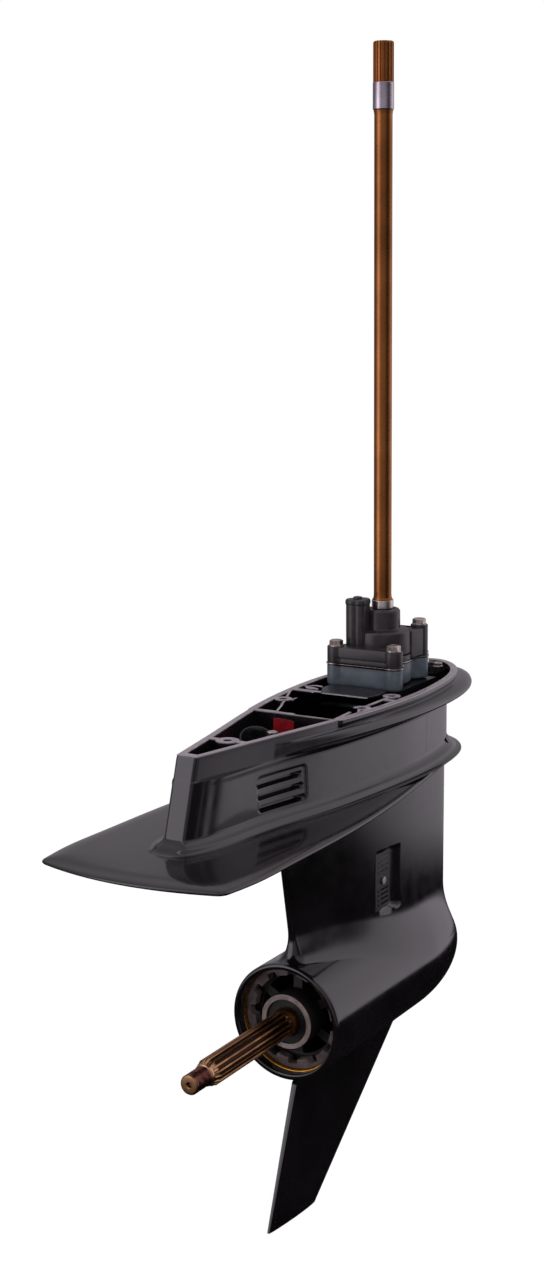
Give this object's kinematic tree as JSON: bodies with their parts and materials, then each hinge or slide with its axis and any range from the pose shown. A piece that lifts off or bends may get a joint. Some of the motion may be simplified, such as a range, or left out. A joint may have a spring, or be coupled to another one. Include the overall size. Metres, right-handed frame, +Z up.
{
  "type": "outboard lower unit",
  "caption": "Gearcase of an outboard motor with water pump, splined driveshaft, bevel gears, dog clutch and splined propeller shaft, below a flat mating deck.",
  "frame": {"origin": "where the driveshaft's axis crosses the machined mating deck", "axes": "+X to starboard, +Y forward, +Z up along the driveshaft"},
  "size_m": [0.2046, 0.6469, 1.1713],
  "materials": {
    "housing_paint": "gloss black paint over cast aluminium",
    "dark_anodised": "dark primer over aluminium",
    "base_paint": "satin grey paint over aluminium",
    "pump_plastic": "satin moulded plastic",
    "guide_plastic": "moulded plastic",
    "seal_grey": "light grey rubber-faced plastic",
    "black_rubber": "moulded rubber",
    "stainless": "rolled or machined stainless steel",
    "bright_fastener": "bright stainless fastener",
    "bronze_shaft": "ground shaft steel with a bronze-brown coating",
    "prop_shaft_steel": "machined shaft steel with a bronze-gold coating",
    "gear_steel": "hardened gear steel",
    "bearing_steel": "ground bearing steel",
    "chromate": "gold chromate plating",
    "red_plastic": "thin red plastic"
  },
  "bodies": {
    "housing": {"bearing_carrier": "dark_anodised", "carrier_needle_bearing": "bearing_steel", "carrier_o_ring": "black_rubber", "chamber_bolt": "bright_fastener", "chamber_tube": "guide_plastic", "driveshaft_seals": "black_rubber", "exhaust_seal_plate": "seal_grey", "forward_bearing_cup": "bearing_steel", "gear_housing": "housing_paint", "gear_oil_plugs": "bright_fastener", "inlet_grilles": "guide_plastic", "inlet_screws": "bright_fastener", "lower_needle_bearing": "bearing_steel", "nut_lock_washer": "chromate", "outlet_cap": "pump_plastic", "prop_shaft_seals": "black_rubber", "pump_base": "base_paint", "pump_bolts": "bright_fastener", "pump_gasket": "black_rubber", "pump_housing": "pump_plastic", "pump_liner": "stainless", "pump_plate": "stainless", "red_tag": "red_plastic", "retaining_nut": "dark_anodised", "reverse_bearing_cup": "bearing_steel", "shift_bushing": "guide_plastic", "shift_bushing_screws": "bright_fastener", "upper_bearing_cup": "bearing_steel", "water_tube_guide": "guide_plastic"},
    "driveline": {"driveshaft": "bronze_shaft", "shaft_collar": "stainless", "upper_bearing_cone": "bearing_steel", "upper_bearing_rollers": "bearing_steel", "pinion_gear": "gear_steel", "pinion_nut": "gear_steel", "pump_impeller": "black_rubber", "impeller_key": "bright_fastener"},
    "forward_gear_set": {"forward_gear": "gear_steel", "forward_bearing_cone": "bearing_steel", "forward_bearing_rollers": "bearing_steel", "forward_gear_needles": "bearing_steel"},
    "reverse_gear_set": {"reverse_gear": "gear_steel", "reverse_bearing_cone": "bearing_steel", "reverse_bearing_rollers": "bearing_steel"},
    "propeller_shaft": {"prop_shaft": "prop_shaft_steel"},
    "clutch": {"clutch_dog": "gear_steel", "clutch_cross_pin": "gear_steel", "clutch_spring_ring": "gear_steel", "shift_spool": "gear_steel"},
    "shift": {"shift_shaft": "stainless", "shift_crank": "gear_steel"}
  },
  "joints": [
    {"name": "driveshaft_spin", "type": "hinge", "parent": "housing", "child": "driveline", "pos_m": [0, 0, 0], "axis": [0, 0, 1], "continuous": true},
    {"name": "forward_gear_spin", "type": "hinge", "parent": "housing", "child": "forward_gear_set", "pos_m": [0, 0, -0.3092], "axis": [0, 1, 0], "continuous": true},
    {"name": "reverse_gear_spin", "type": "hinge", "parent": "housing", "child": "reverse_gear_set", "pos_m": [0, 0, -0.3092], "axis": [0, 1, 0], "continuous": true},
    {"name": "propeller_shaft_spin", "type": "hinge", "parent": "housing", "child": "propeller_shaft", "pos_m": [0, 0, -0.3092], "axis": [0, 1, 0], "continuous": true},
    {"name": "clutch_slide", "type": "slide", "parent": "propeller_shaft", "child": "clutch", "axis": [0, 1, 0], "range_m": [-0.0057, 0.0057]},
    {"name": "shift_shaft_turn", "type": "hinge", "parent": "housing", "child": "shift", "pos_m": [0, 0.1, 0], "axis": [0, 0, 1], "range_deg": [-30, 30]}
  ],
  "couplings": [
    {"joint": "forward_gear_spin", "follows": "driveshaft_spin", "ratio": -0.5},
    {"joint": "reverse_gear_spin", "follows": "driveshaft_spin", "ratio": 0.5},
    {"joint": "shift_shaft_turn", "follows": "clutch_slide", "rad_per_m": 91.859}
  ]
}
